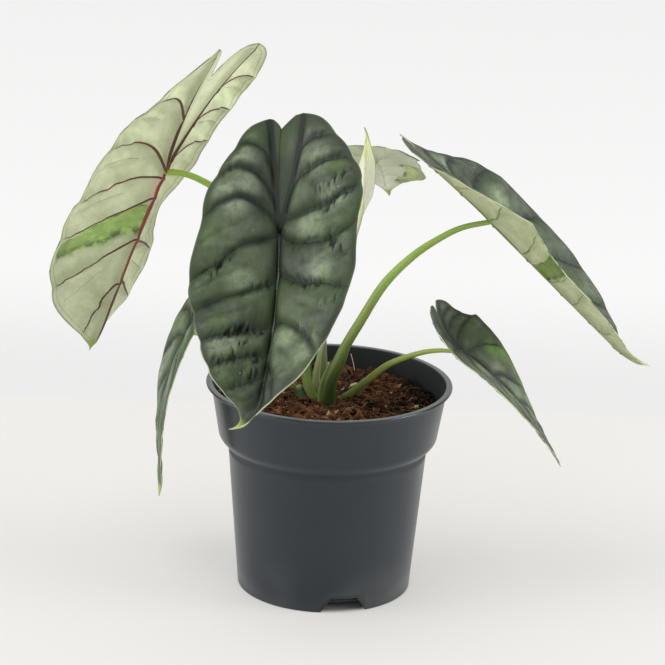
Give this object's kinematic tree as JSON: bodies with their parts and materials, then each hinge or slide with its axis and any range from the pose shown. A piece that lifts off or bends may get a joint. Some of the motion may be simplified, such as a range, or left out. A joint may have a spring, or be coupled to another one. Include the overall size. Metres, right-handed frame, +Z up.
{
  "type": "potted dragon scale alocasia",
  "caption": "Potted aroid houseplant with thick, deeply veined, scaly looking shield shaped leaves on arching stalks, in a plain plastic growers' pot.",
  "frame": {"origin": "middle of the whole plant's box, on the floor; the pot's axis stands at x -8.2 mm, y +2.1 mm", "axes": "+Z up from the floor, +X to the picture's right, -Y towards the picture's viewer"},
  "size_m": [0.2945, 0.2115, 0.2714],
  "materials": {
    "pot_plastic": "satin moulded plastic",
    "potting_mix": "rough coir and bark chips",
    "crown_green": "smooth living stem",
    "stalk": "smooth living stem",
    "blade": "leathery leaf, pale underside",
    "young_blade": "soft young leaf"
  },
  "bodies": {
    "root": {"pot": "pot_plastic", "soil": "potting_mix", "crown": "crown_green", "front_blade": "blade", "front_stalk": "stalk", "tall_blade": "blade", "tall_stalk": "stalk", "right_blade": "blade", "right_stalk": "stalk", "low_blade": "blade", "low_stalk": "stalk", "hanging_blade": "blade", "hanging_stalk": "stalk", "rear_blade": "blade", "rear_stalk": "stalk", "young_blade": "young_blade", "young_stalk": "stalk"}
  },
  "joints": []
}
